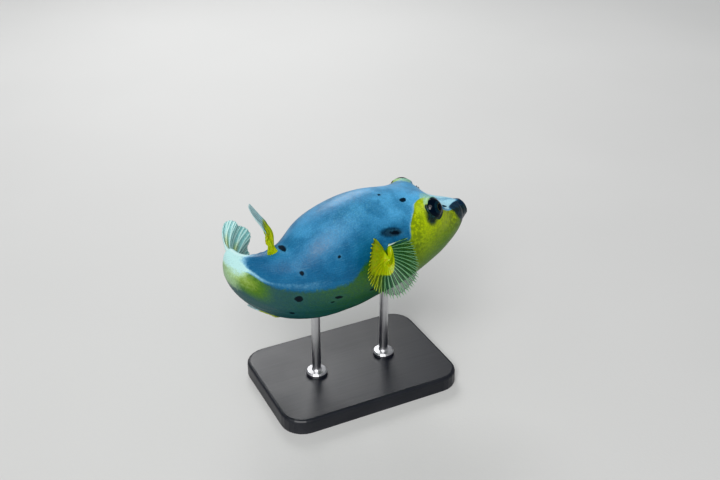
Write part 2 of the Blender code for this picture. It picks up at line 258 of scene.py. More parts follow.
# ---------------------------------------------------------------- finishes
class Value:
    """A socket of a finish, on which sums are written as plain expressions."""

    def __init__(self, finish, socket):
        self.finish = finish
        self.socket = socket

    def math(self, operation, *terms, clamp=False):
        settings = {"operation": operation, "use_clamp": clamp}
        return self.finish.node("Math", settings, dict(enumerate(terms)))

    def __add__(self, other):
        return self.math("ADD", self, other)

    def __radd__(self, other):
        return self.math("ADD", other, self)

    def __sub__(self, other):
        return self.math("SUBTRACT", self, other)

    def __rsub__(self, other):
        return self.math("SUBTRACT", other, self)

    def __mul__(self, other):
        return self.math("MULTIPLY", self, other)

    def __rmul__(self, other):
        return self.math("MULTIPLY", other, self)

    def larger(self, other):
        return self.math("MAXIMUM", self, other)

    def clamped(self):
        return self.math("ADD", self, 0.0, clamp=True)

    def fade(self, start, end):
        """0 before start, 1 after end, and smooth between them."""
        settings = {"interpolation_type": "SMOOTHSTEP"}
        return self.finish.node("MapRange", settings, {0: self, 1: start, 2: end, 3: 0.0, 4: 1.0})


class Finish:
    """A material made of one Principled shader and the nodes that feed it."""

    def __init__(self, name, **constants):
        self.material = bpy.data.materials.new(name)
        self.material.use_nodes = True
        self.tree = self.material.node_tree
        self.shader = self.tree.nodes["Principled BSDF"]
        for socket, value in constants.items():
            self.socket(socket).default_value = value
        self.where = self.node("TexCoord", output="Object")

    def socket(self, name):
        """The shader's socket for a keyword such as base_color or specular_ior_level."""
        return self.shader.inputs[name.replace("_", " ").title().replace("Ior", "IOR")]

    def node(self, kind, settings=(), inputs=(), output=0):
        made = self.tree.nodes.new("ShaderNode" + kind)
        for key, value in dict(settings).items():
            setattr(made, key, value)
        for key, value in dict(inputs).items():
            self.feed(made.inputs[key], value)
        return Value(self, made.outputs[output])

    def feed(self, socket, value):
        if isinstance(value, Value):
            self.tree.links.new(value.socket, socket)
        elif socket.type == "RGBA" and len(value) == 3:
            socket.default_value = (*value, 1)
        else:
            socket.default_value = value

    def attribute(self, name, output="Fac"):
        return self.node("Attribute", {"attribute_name": name}, output=output)

    def noise(self, size, detail=2.0, vector=None, **inputs):
        """Smooth noise from 0 to 1, with features of about this size in metres."""
        given = {"Vector": vector or self.where, "Scale": 1 / size, "Detail": detail}
        given.update({key.title(): value for key, value in inputs.items()})
        return self.node("TexNoise", {}, given)

    def cells(self, size, feature="F1", vector=None, **inputs):
        given = {"Vector": vector or self.where, "Scale": 1 / size}
        given.update({key.title(): value for key, value in inputs.items()})
        return self.node("TexVoronoi", {"feature": feature}, given, output="Distance")

    def stretched(self, vector, scale):
        return self.node("VectorMath", {"operation": "MULTIPLY"}, {0: vector, 1: scale})

    def blend(self, factor, first, second, way="MIX"):
        """From the first colour to the second."""
        settings = {"data_type": "RGBA", "blend_type": way}
        return self.node("Mix", settings, {0: factor, 6: first, 7: second}, output=2)

    def shade(self, colour, value, depth):
        """The colour made darker and lighter by a 0 to 1 value, by up to depth each way."""
        grey = 1 + (value - 0.5) * (2 * depth)
        together = self.node("CombineColor", {}, {0: grey, 1: grey, 2: grey})
        return self.blend(1.0, colour, together, way="MULTIPLY")

    def bump(self, height, depth, normal=None, strength=1.0):
        given = {"Height": height, "Distance": depth, "Strength": strength}
        if normal:
            given["Normal"] = normal
        return self.node("Bump", {}, given)

    def finish(self, **varying):
        for socket, value in varying.items():
            self.feed(self.socket(socket), value)
        return self.material


# linear colours
# the back's blue, lighter partly of itself and partly as painted light from above
BACK_BLUE_AND_TOP_LIGHT = (0.104, 0.395, 0.690)
FLANK_BLUE = (0.020, 0.130, 0.275)
DEEP_BLUE = (0.012, 0.080, 0.190)
SKY = (0.240, 0.520, 0.720)
CREAM = (0.440, 0.660, 0.340)
ICE = (0.530, 0.840, 0.830)
YELLOW = (0.400, 0.535, 0.009)
AMBER = (0.560, 0.330, 0.008)
OLIVE = (0.080, 0.188, 0.026)
TEAL = (0.036, 0.096, 0.106)
NAVY = (0.007, 0.013, 0.030)
SLATE = (0.020, 0.055, 0.080)
INK = (0.004, 0.006, 0.012)
FLECK = (0.170, 0.480, 0.560)
SHADOW = (0.030, 0.140, 0.200)
MOSS = (0.085, 0.150, 0.012)
SNOUT_PALE = (0.460, 0.820, 0.950)
BROW_PALE = (0.360, 0.620, 0.380)
# painted shade in the furrows of the fins' fleshy roots
FURROW_SHADE = (0.085, 0.095, 0.008)
# pale fin colour; along the root of the pectoral fin's first ray it is a painted highlight
WHITE_AND_HIGHLIGHT = (0.800, 0.900, 0.840)
GREEN_RAY = (0.180, 0.360, 0.200)
GREEN_WEB = (0.038, 0.100, 0.058)
YELLOW_RAY = (0.500, 0.600, 0.050)
YELLOW_WEB = (0.190, 0.250, 0.020)


def skin_finish():
    """Satin skin: colour from the marking fields on the mesh, which hold pigment and some painted light and
    shade, fine pimples, pores and lengthwise streaks.
    """
    skin = Finish("puffer_skin", specular_ior_level=0.38, coat_weight=0.10, coat_roughness=0.25)
    lie = skin.attribute("lie", output="Vector")
    ragged = skin.noise(2.2 * MM, detail=4) - 0.5
    fine = skin.noise(0.8 * MM, detail=2)
    broad = skin.noise(15 * MM, detail=3)
    streaks = skin.noise(1.0, detail=3, vector=skin.stretched(lie, (170, 700, 0)))
    pimples = skin.cells(1.05 * MM, feature="SMOOTH_F1", smoothness=0.6)

    # lighter blue towards the back and head top: partly the fish's own colour, partly painted light from
    # above
    blue = skin.blend((skin.attribute("back") + (broad - 0.5) * 0.32).clamped(), FLANK_BLUE, BACK_BLUE_AND_TOP_LIGHT)
    blue = skin.blend(broad.fade(0.60, 0.36) * 0.40, blue, DEEP_BLUE)
    blue = skin.blend(streaks.fade(0.46, 0.80) * 0.13, blue, SKY)
    light = skin.attribute("light")
    flecks = (skin.noise(1.3 * MM, detail=3) + light * 0.16).fade(0.60, 0.80)
    blue = skin.blend(flecks * (0.08 + 0.12 * light), blue, FLECK)
    shadows = (skin.noise(3.1 * MM, detail=3) + light * 0.12).fade(0.60, 0.75)
    blue = skin.blend(shadows * 0.16, blue, SHADOW)

    rich = skin.attribute("rich") + ragged * 0.22
    warm = skin.blend(rich.fade(0.05, 0.5), TEAL, OLIVE)
    warm = skin.blend(rich.fade(0.42, 0.98), warm, YELLOW)
    blush = skin.noise(4 * MM, detail=3).fade(0.48, 0.75) * rich.fade(0.55, 1.0)
    warm = skin.blend(blush * 0.10, warm, AMBER)
    mottle = skin.attribute("mottle")
    clumps = (skin.noise(2.6 * MM, detail=5) + mottle * 0.22).fade(0.56, 0.74)
    grains = skin.cells(1.4 * MM, randomness=1.0) + ragged * 0.9 - skin.noise(7 * MM) * 0.5
    dots = 0.6 - 0.6 * grains.fade(-0.10, 0.14)
    warm = skin.blend((clumps * 0.72).larger(dots) * mottle, warm, MOSS)

    in_warm = (skin.attribute("warm") + ragged * 0.8 + (broad - 0.5) * 0.3).fade(0.18, 0.82)
    colour = skin.blend(in_warm, blue, warm)
    ice = skin.attribute("ice") + ragged * 0.35
    wash = skin.blend(in_warm, SKY, CREAM)
    colour = skin.blend(ice.fade(0.05, 0.60) * 0.80, colour, wash)
    creamy = in_warm * (broad - ragged).fade(0.30, 0.66) * 0.5
    colour = skin.blend(ice.fade(0.42, 1.0), colour, skin.blend(creamy, ICE, CREAM))
    pale = (skin.attribute("pale") + ragged * 0.5).fade(0.25, 0.8)
    colour = skin.blend(pale * 0.92, colour, SNOUT_PALE)
    brow = (skin.attribute("brow") + ragged * 1.1).fade(0.2, 0.95)
    colour = skin.blend(brow * 0.78, colour, BROW_PALE)
    # the dark skin of the snout, round the eyes and at the pectoral fins, and the painted shadow under each
    # eye
    dark = (skin.attribute("dark") + ragged * 0.42).fade(0.12, 0.85)
    night = skin.blend(skin.noise(2.4 * MM, detail=4).fade(0.44, 0.72), NAVY, SLATE)
    colour = skin.blend(dark * 0.96, colour, night)
    halo = (skin.attribute("spots") + ragged * 0.8).fade(-1.9, -0.6)
    colour = skin.blend(halo * (0.08 - 0.06 * in_warm), colour, SKY)
    spots = (skin.attribute("spots") + ragged * 1.6).fade(-0.35, 0.35)
    colour = skin.blend(spots * 0.97, colour, INK)
    colour = skin.shade(colour, fine, 0.16)
    # painted shade: darker in the hollows between the pimples and lighter on their tops
    colour = skin.shade(colour, 1 - pimples.fade(0.0, 0.75), 0.10)

    rough = 0.50 - 0.14 * pimples.fade(0.2, 0.7) + 0.10 * fine - 0.12 * dark
    height = pimples.fade(0.0, 0.8) * -0.5 + fine * 0.25 + streaks * 0.25
    folds = skin.noise(1.0, detail=2, vector=skin.stretched(lie, (70, 420, 0)))
    normal = skin.bump(folds * skin.attribute("slack"), 0.5 * MM)
    normal = skin.bump(height, 0.15 * MM, normal)
    return skin.finish(base_color=colour, roughness=rough, normal=normal)


def eye_finish():
    """Dark glassy eye: a round pupil in a thin dull ring, and a slate iris with fine radial threads."""
    eye = Finish("eye", specular_ior_level=0.15, coat_weight=0.28, coat_roughness=0.03)
    polar = eye.attribute("polar")
    threads = eye.noise(1.0, detail=3, vector=eye.attribute("threads", output="Vector"))
    iris = eye.blend(threads.fade(0.35, 0.7), (0.006, 0.013, 0.022), (0.022, 0.042, 0.055))
    flecks = eye.noise(0.4 * MM, detail=2).fade(0.62, 0.78)
    iris = eye.blend(flecks * 0.4, iris, (0.14, 0.13, 0.05))
    off_ring = (polar - 19.0).math("ABSOLUTE", polar - 19.0)
    iris = eye.blend(off_ring.fade(1.9, 0.5) * 0.42, iris, (0.20, 0.16, 0.06))
    pupil = (polar + threads * 1.0).fade(18.6, 17.4)
    colour = eye.blend(pupil, iris, (0.002, 0.004, 0.008))
    colour = eye.blend(polar.fade(33, 39), colour, (0.004, 0.007, 0.013))
    normal = eye.bump(threads * (1 - pupil), 0.012 * MM)
    return eye.finish(base_color=colour, roughness=0.10 + 0.12 * threads, normal=normal)


def dark_flesh_finish():
    flesh = Finish("dark_flesh", roughness=0.5, coat_weight=0.2, coat_roughness=0.25)
    grain = flesh.noise(0.8 * MM, detail=3)
    colour = flesh.blend(grain.fade(0.35, 0.7), (0.007, 0.013, 0.026), (0.025, 0.045, 0.075))
    colour = flesh.blend(flesh.attribute("tip") * 0.45, colour, (0.10, 0.16, 0.22))
    normal = flesh.bump(grain, 0.12 * MM)
    return flesh.finish(base_color=colour, roughness=0.42 + 0.2 * grain, normal=normal)


def tooth_finish():
    tooth = Finish("tooth", roughness=0.25, coat_weight=0.5, coat_roughness=0.1)
    lines = tooth.noise(1.0, detail=3, vector=tooth.stretched(tooth.where, (300, 2600, 700)))
    stain = tooth.noise(3 * MM, detail=3)
    colour = tooth.blend(stain.fade(0.4, 0.75), (0.78, 0.74, 0.60), (0.55, 0.47, 0.30))
    colour = tooth.shade(colour, lines, 0.12)
    normal = tooth.bump(lines, 0.05 * MM)
    return tooth.finish(base_color=colour, roughness=0.22 + 0.15 * stain, normal=normal)


def fin_finish(name, root, rays, webs, clear):
    """Fin: a fleshy root, ray crests and a membrane that lets light through by clear. The rays and webs are
    each two colours, for where the fin's sunny field is 0 and 1."""
    fin = Finish(name, roughness=0.4, coat_weight=0.2, coat_roughness=0.25)
    out = fin.attribute("out")
    ray = fin.attribute("ray")
    sunny = fin.attribute("sunny")
    grain = fin.noise(1.0 * MM, detail=3)
    ragged = grain - 0.5
    rooted = (fin.attribute("fleshy") + ragged * 0.5).fade(0.3, 0.7)
    joints = fin.node("Math", {"operation": "SINE"}, {0: out * 120})
    web = fin.blend((sunny + ragged * 0.4).fade(0.2, 0.8), *webs)
    web = fin.shade(web, fin.noise(2.0 * MM, detail=3), 0.45)
    crest = fin.blend((sunny + ragged * 0.4).fade(0.2, 0.8), *rays)
    crest = fin.shade(crest, joints * 0.5 + 0.5, 0.05)
    colour = fin.blend(ray.fade(0.3, 0.8), web, crest)
    lumps = fin.noise(3.0 * MM, detail=3)
    flesh = fin.blend(lumps.fade(0.46, 0.74) * 0.50, root, AMBER)
    # painted shade: darker between the rays and between the amber lumps of the fleshy root
    furrow_shade = (1 - ray.fade(0.0, 0.5)) * 0.24 + lumps.fade(0.46, 0.32) * 0.24
    flesh = fin.blend(furrow_shade, flesh, FURROW_SHADE)
    flesh = fin.shade(flesh, grain, 0.22)
    colour = fin.blend(rooted, colour, flesh)
    # pale parts of the fins, and a painted highlight along the root of the pectoral fin's first ray
    colour = fin.blend(fin.attribute("white"), colour, WHITE_AND_HIGHLIGHT)
    see_through = (1 - rooted) * (1 - ray.fade(0.15, 0.7)) * out.fade(0.12, 0.4)
    normal = fin.bump(grain + joints * ray * 0.15, 0.12 * MM)
    rough = 0.36 + 0.2 * grain
    return fin.finish(base_color=colour, roughness=rough, alpha=1 - see_through * clear, normal=normal)


# name; fleshy root; shaded and sunny ray; shaded and sunny web; how clear the web is
FIN_FINISHES = (
    ("fin_pectoral", YELLOW, (GREEN_RAY, YELLOW_RAY), (GREEN_WEB, YELLOW_WEB), 0.55),
    ("fin_middle", YELLOW, ((0.30, 0.62, 0.68), (0.44, 0.52, 0.09)), ((0.10, 0.32, 0.38), OLIVE), 0.30),
    (
        "fin_caudal", ICE,
        ((0.56, 0.85, 0.80), (0.52, 0.68, 0.34)), ((0.26, 0.58, 0.58), (0.28, 0.38, 0.07)), 0.12,
    ),
)


def painted_wood_finish():
    paint = Finish("painted_wood", roughness=0.4, coat_weight=0.15, coat_roughness=0.3)
    grain = paint.noise(1.0, detail=4, vector=paint.stretched(paint.where, (14, 260, 90)))
    cloud = paint.noise(30 * MM, detail=3)
    edge = paint.node("NewGeometry", output="Pointiness")
    worn = (edge + (grain - 0.5) * 0.03).fade(0.54, 0.60)
    colour = paint.blend(cloud, (0.022, 0.023, 0.027), (0.034, 0.035, 0.040))
    colour = paint.shade(colour, grain, 0.22)
    colour = paint.blend(worn * 0.35, colour, (0.12, 0.12, 0.13))
    normal = paint.bump(grain, 0.10 * MM)
    rough = 0.34 + 0.16 * cloud + 0.08 * grain
    return paint.finish(base_color=colour, roughness=rough, normal=normal)


def brushed_steel_finish():
    steel = Finish("brushed_steel", metallic=1.0, roughness=0.3)
    brushed = steel.noise(1.0, detail=3, vector=steel.stretched(steel.where, (300, 300, 5200)))
    cloud = steel.noise(8 * MM, detail=2)
    colour = steel.blend(cloud, (0.52, 0.52, 0.54), (0.66, 0.66, 0.67))
    colour = steel.shade(colour, brushed, 0.10)
    normal = steel.bump(brushed, 0.02 * MM)
    return steel.finish(base_color=colour, roughness=0.22 + 0.2 * brushed, normal=normal)


def floor_finish():
    floor = Finish("pale_floor", roughness=0.7)
    cloud = floor.noise(0.35, detail=3)
    colour = floor.blend(cloud, (0.60, 0.60, 0.59), (0.66, 0.66, 0.65))
    normal = floor.bump(floor.noise(2.5 * MM, detail=2), 0.1 * MM)
    return floor.finish(base_color=colour, roughness=0.62 + 0.12 * cloud, normal=normal)


# ---------------------------------------------------------------- meshes
def add_object(name, data):
    made = bpy.data.objects.new(name, data)
    bpy.context.scene.collection.objects.link(made)
    return made


def surface(name, rows, closed=False, capped=False):
    """A smooth quad mesh over rows of points. Closed joins the two ends of each row, and capped folds the
    last row flat on itself, which closes a fin's margin. The map OFBake follows the rows."""
    rows = np.asarray(rows, float)
    count, across = rows.shape[:2]
    index = np.arange(count * across).reshape(count, across)
    if closed:
        index = np.concatenate((index, index[:, :1]), 1)
    quads = np.stack((index[:-1, :-1], index[:-1, 1:], index[1:, 1:], index[1:, :-1]), -1)
    v, u = np.meshgrid(np.arange(index.shape[0]), np.arange(index.shape[1]), indexing="ij")
    uv = np.stack((u / (index.shape[1] - 1) * 0.98 + 0.01, v / (count - 1) * 0.94 + 0.01), -1)
    corners = np.stack((uv[:-1, :-1], uv[:-1, 1:], uv[1:, 1:], uv[1:, :-1]), -2)
    quads, corners = quads.reshape(-1, 4), corners.reshape(-1, 4, 2)
    if capped:
        half = across // 2
        front = index[-1, :half]
        back = index[-1, across - 1 : across - 1 - half : -1]
        cap = np.stack((front[:-1], front[1:], back[1:], back[:-1]), -1)
        left = np.arange(half - 1) / half
        cap_uv = np.stack((left, np.full(half - 1, 0.96)), -1)[:, None]
        cap_uv = cap_uv + np.array(((0, 0), (1 / half, 0), (1 / half, 0.03), (0, 0.03)))
        quads = np.concatenate((quads, cap))
        corners = np.concatenate((corners, cap_uv))
    points = rows.reshape(-1, 3)
    a, b, c = points[quads[:, 0]], points[quads[:, 1]], points[quads[:, 2]]
    if np.einsum("ij,ij->i", a - points.mean(0), np.cross(b - a, c - a)).sum() < 0:
        quads, corners = quads[:, ::-1], corners[:, ::-1]
    mesh = bpy.data.meshes.new(name)
    mesh.from_pydata(points.tolist(), [], quads.tolist())
    mesh.uv_layers.new(name="OFBake").data.foreach_set("uv", corners.reshape(-1))
    mesh.shade_smooth()
    return add_object(name, mesh)


def mark(piece, **fields):
    """Stores numbers or vectors on the piece's points, for its finish to read."""
    for name, values in fields.items():
        values = np.asarray(values, np.float32)
        if values.shape[-1:] == (3,) and values.ndim > 2:
            layer = piece.data.attributes.new(name, "FLOAT_VECTOR", "POINT")
            layer.data.foreach_set("vector", values.reshape(-1))
        else:
            layer = piece.data.attributes.new(name, "FLOAT", "POINT")
            layer.data.foreach_set("value", values.reshape(-1))


def settle(piece, material, slot, *nodes):
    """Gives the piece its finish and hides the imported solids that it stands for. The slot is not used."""
    piece.data.materials.append(material)
    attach(piece, "root")
    if nodes:
        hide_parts(*nodes)
    return piece


# ---------------------------------------------------------------- markings
# each black spot: along, around in degrees; half length and half height in mm; slant in degrees
SPOTS = (
    (0.296, 62.5, 2.8, 1.9, -10),
    (0.377, 25.4, 4.4, 1.5, 16),
    (0.376, 77.0, 1.4, 0.9, 0),
    (0.610, 24.8, 1.3, 1.2, 0),
    (0.733, 20.2, 1.1, 2.0, -20),
    (0.752, 342.3, 2.4, 3.2, 0),
    (0.629, 338.2, 3.1, 1.6, 12),
    (0.651, 333.0, 1.5, 1.0, 0),
    (0.492, 331.5, 2.6, 1.2, 15),
    (0.774, 317.5, 1.7, 1.4, 0),
    (0.768, 83.0, 1.7, 5.4, -18),
    (0.560, 300.0, 2.0, 1.6, 0),
    (0.440, 296.0, 1.5, 1.3, 0),
    (0.690, 283.0, 2.2, 2.0, 0),
    (0.265, 121.0, 2.2, 1.6, 12),
    (0.430, 108.0, 1.3, 1.0, 0),
    (0.360, 141.0, 1.8, 1.4, 0),
    (0.520, 148.0, 2.4, 2.0, 0),
    (0.590, 172.0, 1.4, 1.2, 0),
    (0.668, 133.0, 1.2, 1.1, 0),
    (0.700, 192.0, 2.6, 2.9, 15),
    (0.560, 205.0, 2.6, 1.5, 0),
    (0.640, 216.0, 1.6, 1.3, 0),
    (0.480, 224.0, 1.9, 1.5, 0),
    (0.760, 222.0, 2.0, 1.7, 0),
    (0.600, 246.0, 1.7, 1.5, 0),
)
# where the yellow of the face ends: degrees above the side line; along
FACE_BACK = (
    (-90, 0.38), (-50, 0.37), (-18, 0.37), (0, 0.346), (8, 0.326), (14, 0.314), (20, 0.311),
    (30, 0.303), (38, 0.289), (45, 0.276), (53, 0.262), (60, 0.228), (68, 0.204), (90, 0.150),
)
# and how high it reaches: along; degrees above the side line
FACE_TOP = (
    (-0.02, 44), (0.08, 46), (0.13, 44), (0.165, 43), (0.19, 50), (0.215, 57), (0.24, 57),
    (0.262, 55), (0.29, 50), (0.34, 48),
)
# the top of the warm belly: along; degrees above the side line
BELLY_TOP = (
    (0.28, 10), (0.34, 12), (0.42, 13), (0.49, 11), (0.54, 2), (0.575, -7), (0.63, -9), (0.69, -9),
    (0.746, -8), (0.785, -5), (0.82, -1), (0.845, 8), (0.865, 20), (0.885, 29), (0.92, 33),
    (0.96, 36), (1.02, 42),
)
# half the width of the soft change into it: along; mm
BELLY_SOFTNESS = (
    (0.28, 2.6), (0.34, 3.4), (0.40, 3.8), (0.50, 4.2), (0.60, 3.6), (0.75, 3.2), (0.85, 2.8),
    (0.93, 3.6), (1.0, 5.0),
)
# how yellow the warm parts are: along; 0 teal, 0.5 olive, 1 yellow
RICHNESS = (
    (0.0, 0.85), (0.08, 0.95), (0.16, 0.98), (0.22, 1.06), (0.30, 1.04), (0.35, 0.66), (0.42, 0.56),
    (0.52, 0.52), (0.62, 0.44), (0.70, 0.34), (0.78, 0.24), (0.88, 0.20), (1.02, 0.20),
)
# and how that falls away downwards, partly the belly's own olive and partly painted shade under the fish:
# degrees above the side line; share
RICH_DOWN_AND_SHADE = (
    (-90, 0.34), (-55, 0.40), (-25, 0.52), (-8, 0.61), (6, 0.70), (18, 0.82), (32, 0.93), (44, 1.0),
    (90, 1.0),
)
TAIL_YELLOW = ((0.912, 12.5), (17.0, 7.5), 26)  # place, half length and half height in mm, slant
# where the dark snout ends: degrees above the side line; along
SNOUT_BACK = (
    (-90, 0.040), (-20, 0.042), (0, 0.052), (10, 0.060), (20, 0.068), (30, 0.073), (38, 0.078),
    (46, 0.088), (54, 0.092), (64, 0.062), (76, 0.022), (90, 0.010),
)
# where the pale patch on top of the snout starts: degrees above the side line; along
PALE_FRONT = ((-90, 0.12), (44, 0.100), (54, 0.096), (64, 0.066), (76, 0.028), (90, 0.014))
# more ovals on both flanks, each given as that of the tail's yellow is
PALE_STALK = ((0.918, 36), (5.5, 4.6), 0)
PALE_VEIL = ((0.915, 18.0), (12.0, 5.0), 24)
# a painted shadow under each eye
UNDER_EYE_SHADOW = ((0.221, 31.0), (4.4, 7.6), -10)
BROW_PATCH = ((0.200, 62), (6.8, 4.0), -20)
MM_TO_A_DEGREE = 0.55  # mm of skin to a degree, on the flank
# the dark blotches at the pectoral fin: place; half length and half height in mm; slant; strength; softness
BLOTCHES = (
    ((0.379, 26.0), (6.2, 2.9), 16, 1.0, 1.3),
    ((0.392, 27.6), (9.6, 3.8), 14, 0.84, 2.4),
    ((0.402, 34.0), (13.0, 4.0), 8, 0.24, 3.0),
)


def oval(along, around, centre, sizes, slant):
    """How far inside an oval each place lies, in mm: 0 on its edge, and below 0 outside."""
    length = (along - centre[0]) * BODY_LENGTH / MM
    turn = (around - radians(centre[1]) + pi) % (2 * pi) - pi
    high = turn * girth(centre[0], radians(centre[1])) / MM
    c, s = cos(radians(slant)), sin(radians(slant))
    reach = np.hypot((length * c + high * s) / sizes[0], (high * c - length * s) / sizes[1])
    return (1 - reach) * min(sizes)


def patch(along, around, shape, start, end):
    """An oval on the right flank and its mirror image on the left, faded between two depths in mm."""
    mirrored = (pi - around) % (2 * pi)
    inside = np.maximum(oval(along, around, *shape), oval(along, mirrored, *shape))
    return fade(inside, start, end)


def markings(along, around, points):
    """The marking fields. Spots are in mm inside their edges, and the others run from 0 to 1."""
    height = above(around)
    length = along * BODY_LENGTH / MM
    face = np.minimum(
        through(FACE_BACK, height) * BODY_LENGTH / MM - length,
        (through(FACE_TOP, along) - height) * MM_TO_A_DEGREE,
    )
    belly = (through(BELLY_TOP, along) - height) * MM_TO_A_DEGREE
    soft = through(BELLY_SOFTNESS, along)
    behind = fade(along, 0.27, 0.30)
    corner = np.exp(np.clip(face, -6, 6) / 1.3) + np.exp(np.clip(belly, -6, 6) / 1.3) * behind
    face_edge = face
    face = np.maximum(face, 1.3 * np.log(corner) - 0.6)
    lower = 1.7 * fade(height, 26, 8)
    warm = np.maximum(fade(face / (0.8 + lower), -1, 1), fade(belly / soft, -1, 1) * behind)
    yellow = 0.66 * patch(along, around, TAIL_YELLOW, -5.0, 5.5)
    # less yellow downwards: partly the belly's own colour, partly painted shade
    rich = np.maximum(through(RICHNESS, along) * through(RICH_DOWN_AND_SHADE, height), yellow)

    band = hump(belly, -3.6, 3.0) * (0.22 * fade(along, 0.58, 0.72) + 0.36 * fade(along, 0.80, 0.88))
    stalk = 0.55 * fade(along, 0.885, 0.915) * fade(height, 24, 40)
    stalk = stalk + 0.5 * fade(along, 0.915, 0.955) * fade(height, 30, 60)
    bright = 0.55 * patch(along, around, PALE_STALK, -3, 2) + 0.12 * patch(along, around, PALE_VEIL, -4, 4)
    end = 0.34 * fade(along, 0.905, 0.945) * fade(height, -34, -10)
    end = end + 0.13 * fade(along, 0.83, 0.90) * fade(height, -32, -6)
    ridge = fade(along, 0.83, 0.90) * 0.5 * hump(np.degrees(around), 97, 12)
    fringe = 0.42 * hump(face_edge, -0.5, 0.9) * fade(height, 6, 22) * fade(height, 62, 50)
    ice = np.clip(band + stalk + bright + end + ridge + fringe, 0, 1)

    snout = 0.92 * fade((through(SNOUT_BACK, height) - along) * BODY_LENGTH / MM, -3.6, 2.6)
    blotch = [
        strength * patch(along, around, shape, -blur, blur)
        for *shape, strength, blur in BLOTCHES
    ]
    rims = []
    for eye in EYES:
        distance, angle = eye.polar(points)
        reach = 62 - 9 * fade(eye.towards(SNOUT, points), 0.1, 0.8)
        ring = fade(angle, reach + 4, reach - 5) * fade(eye.towards(BROW, points), 0.72, 0.35)
        rims.append(np.where(distance < 2 * eye.radius, ring, 0))
    # painted shadow under each eye, joined to the dark skin round it
    under = patch(along, around, UNDER_EYE_SHADOW, -3.0, 3.4) * 0.9
    dark = np.max([snout, *blotch, *rims, under], axis=0)

    pale = fade((along - through(PALE_FRONT, height)) * BODY_LENGTH / MM, -2.0, 1.6)
    pale = pale * fade(along, 0.185, 0.13) * fade(height, 44, 51) * (0.5 + 0.5 * fade(height, 90, 68))
    crest = 0.8 * patch(along, around, BROW_PATCH, -3.4, 2.8)
    light = hump(along, 0.50, 0.17) * hump(height, 66, 26)
    mottle = 0.40 * fade(along, 0.16, 0.10) * fade(height, -40, 5) + 0.46 * fade(height, -30, 0)
    mottle = mottle + 0.45 * fade(along, 0.24, 0.28) * fade(height, 50, 40)
    # where the blue is lighter on the back and head top: partly the fish's own colour, partly painted light
    # from above
    back = 0.56 * fade(height, 5, 75) * fade(along, 0.86, 0.66)
    back = back + 0.62 * fade(along, 0.50, 0.32) * fade(height, 14, 54)
    return {
        "warm": warm,
        "rich": rich,
        "ice": ice,
        "dark": dark,
        "pale": pale,
        "brow": crest,
        "light": light,
        "back": np.clip(back, 0, 1),
        "mottle": np.clip(mottle, 0, 1) * fade(along, 0.50, 0.24),
        "spots": np.max([oval(along, around, spot[:2], spot[2:4], spot[4]) for spot in SPOTS], axis=0),
        "slack": fade(height, -20, -50) * fade(along, 0.2, 0.35) * fade(along, 0.95, 0.8),
    }


# ---------------------------------------------------------------- skin
LIP_ROWS = 26
HEAD_ROWS = 118  # to HEAD_END
TAIL_ROWS = 132
HEAD_END = 0.30
SKIN_ACROSS = 320
GILL_ALONG = 0.378  # the gill slit, in front of the pectoral fin
GILL_ABOVE = 8  # degrees above the side line, at its middle
GILL_REACH = 17  # degrees, each way


def waves(along, around, lengthwise, crosswise, shift):
    """Gentle, uneven swells, from -1 to 1."""
    return (
        np.sin(lengthwise * along + 2.1 * np.sin(crosswise * around + shift))
        + np.sin(0.63 * lengthwise * along - crosswise * 1.7 * around + 2 * shift)
    ) / 2


def relief(along, around):
    """What stands out of the plain body, in metres: folds, gill slits, the lips' groove, hollow cheeks."""
    height = above(around)
    left = fade(-np.cos(around), 0.1, 0.8)
    slack = fade(height, -25, -60) * fade(along, 0.25, 0.4) * fade(along, 0.96, 0.8)
    shape = 0.16 * MM * waves(along, around, 34, 5, 0.4)
    shape = shape + 0.30 * MM * slack * waves(along, around, 22, 15, 1.3)
    bend = left * hump(along, 0.845, 0.055) * fade(height, -80, -50)
    shape = shape - 0.9 * MM * bend * (0.5 + 0.5 * np.cos(2 * pi * along / 0.031 + 0.9 * np.sin(3 * around)))
    across = (height - GILL_ABOVE) / GILL_REACH
    slit = (along - GILL_ALONG - 0.010 * across**2) * BODY_LENGTH / MM
    window = fade(np.abs(across), 1.0, 0.7)
    shape = shape - 1.5 * MM * window * hump(slit, 0, 0.75)
    shape = shape + 0.55 * MM * window * hump(slit, -2.0, 1.3)
    lip_groove = hump(along, 0.020, 0.0075)
    cheek = hump(along, 0.14, 0.035) * hump(height, 16, 14)
    return shape - 0.38 * MM * lip_groove - 0.8 * MM * cheek


def skin_rows():
    """Rings from inside the mouth, over the lips and down the body to the root of the tail fin, with the
    place of each point."""
    around = full_turn(SKIN_ACROSS)
    steps = np.linspace(0, len(LIP_RINGS) - 1, LIP_ROWS)
    lips = np.column_stack((np.arange(len(LIP_RINGS)), LIP_RINGS))
    lip_along, up, down, half = (through(lips, steps, k)[:-1, None] for k in (1, 2, 3, 4))
    plump = 1 - 0.035 * np.cos(around * 14) * hump(steps[:-1, None], 3.6, 0.9)
    radii = ((size - SKIN_DEPTH) * plump for size in (up, down, half))
    mouth = section(lip_along, around, *radii)
    head = np.linspace(0, HEAD_END, HEAD_ROWS, endpoint=False)
    rest = np.linspace(HEAD_END, TAIL_ROUNDING[0][0], TAIL_ROWS)
    along = np.concatenate((head, rest))[:, None]
    out = relief(along, around) - SKIN_DEPTH
    skin = body(along, around) + outward(along, around) * (out * fade(along, -0.002, 0.012))[..., None]
    ends = [body(at, around, share * TAIL_INSET) for at, share in TAIL_ROUNDING[1:]]
    rows = np.concatenate((mouth, skin, ends))
    end_along = np.array([at for at, _ in TAIL_ROUNDING[1:]])[:, None]
    all_along = np.concatenate((lip_along, along, end_along)) + 0 * around
    return rows, all_along, np.broadcast_to(around, all_along.shape)


def make_skin(material):
    rows, along, around = skin_rows()
    fields = markings(along, around, rows)
    skin = surface("puffer_skin", rows, closed=True)
    fields["lie"] = np.stack((along * BODY_LENGTH, np.sin(around / 2) * 0.12, around * 0), -1)
    mark(skin, **fields)
    settle(skin, material, "skin", "head", "trunk", "tail", "tail_stalk")
    return SkinGuide(skin, rows, fields)


